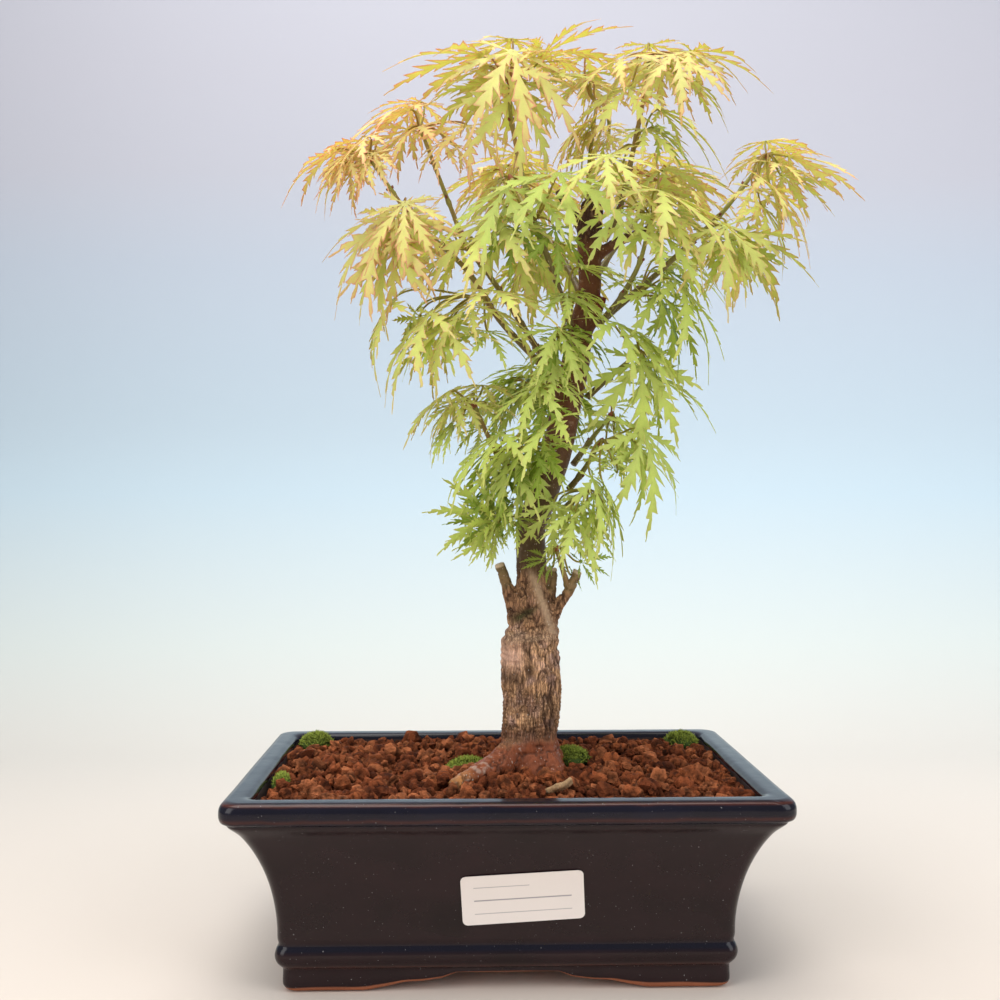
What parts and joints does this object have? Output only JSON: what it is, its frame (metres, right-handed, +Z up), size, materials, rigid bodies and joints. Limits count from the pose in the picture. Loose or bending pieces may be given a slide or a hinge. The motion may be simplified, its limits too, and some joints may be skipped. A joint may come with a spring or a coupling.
{
  "type": "potted bonsai tree",
  "caption": "Small cut-leaf maple tree with a curved trunk and drooping lobed leaves, planted in granular soil in a low rectangular glazed pot with a flared lip and feet.",
  "frame": {"origin": "on the ground, under the middle of the whole outline (tree and pot); the pot's middle is 26 mm to -X and 17 mm to -Y of it, because the crown leans to the right", "axes": "+Z up, +X along the pot to the right as seen from the labelled front, +Y to the back; the label is on the -Y wall"},
  "size_m": [0.2822, 0.2012, 0.42],
  "materials": {
    "pot_glaze": "gloss",
    "screen_plastic": "matte",
    "clip_wire": "satin",
    "label_paper": "satin",
    "soil": "matte",
    "moss": "matte",
    "bark_chip": "matte",
    "bark": "matte",
    "young_stem": "satin",
    "leaf": "satin"
  },
  "bodies": {
    "root": {"drain_screen_left": "screen_plastic", "drain_screen_right": "screen_plastic", "label": "label_paper", "leaves_back_left_1": "leaf", "leaves_back_left_2": "leaf", "leaves_back_low_1": "leaf", "leaves_back_right_1": "leaf", "leaves_basal_sprout_1": "leaf", "leaves_crown_back_1": "leaf", "leaves_crown_left_1": "leaf", "leaves_crown_left_2": "leaf", "leaves_crown_right_1": "leaf", "leaves_crown_right_2": "leaf", "leaves_front_mid_1": "leaf", "leaves_left_fan_1": "leaf", "leaves_left_long_1": "leaf", "leaves_left_long_2": "leaf", "leaves_left_long_3": "leaf", "leaves_left_low_1": "leaf", "leaves_left_low_2": "leaf", "leaves_left_upper_1": "leaf", "leaves_left_upper_2": "leaf", "leaves_right_front_1": "leaf", "leaves_right_inner_1": "leaf", "leaves_right_long_1": "leaf", "leaves_right_long_2": "leaf", "leaves_right_long_3": "leaf", "leaves_right_low_1": "leaf", "leaves_right_mid_1": "leaf", "leaves_right_rear_1": "leaf", "moss_back_left": "moss", "moss_back_right": "moss", "moss_left_of_trunk": "moss", "moss_left_wall": "moss", "moss_right_of_trunk": "moss", "pot": "pot_glaze", "screen_clip_left": "clip_wire", "screen_clip_right": "clip_wire", "shoot_back_left": "young_stem", "shoot_back_low": "young_stem", "shoot_back_right": "young_stem", "shoot_basal_sprout": "young_stem", "shoot_crown_back": "young_stem", "shoot_crown_left": "young_stem", "shoot_crown_right": "young_stem", "shoot_front_mid": "young_stem", "shoot_left_fan": "young_stem", "shoot_left_long": "young_stem", "shoot_left_low": "young_stem", "shoot_left_upper": "young_stem", "shoot_right_front": "young_stem", "shoot_right_inner": "young_stem", "shoot_right_long": "young_stem", "shoot_right_low": "young_stem", "shoot_right_mid": "young_stem", "shoot_right_rear": "young_stem", "soil_bed": "soil", "trunk": "bark", "wood_chip": "bark_chip"}
  },
  "joints": []
}
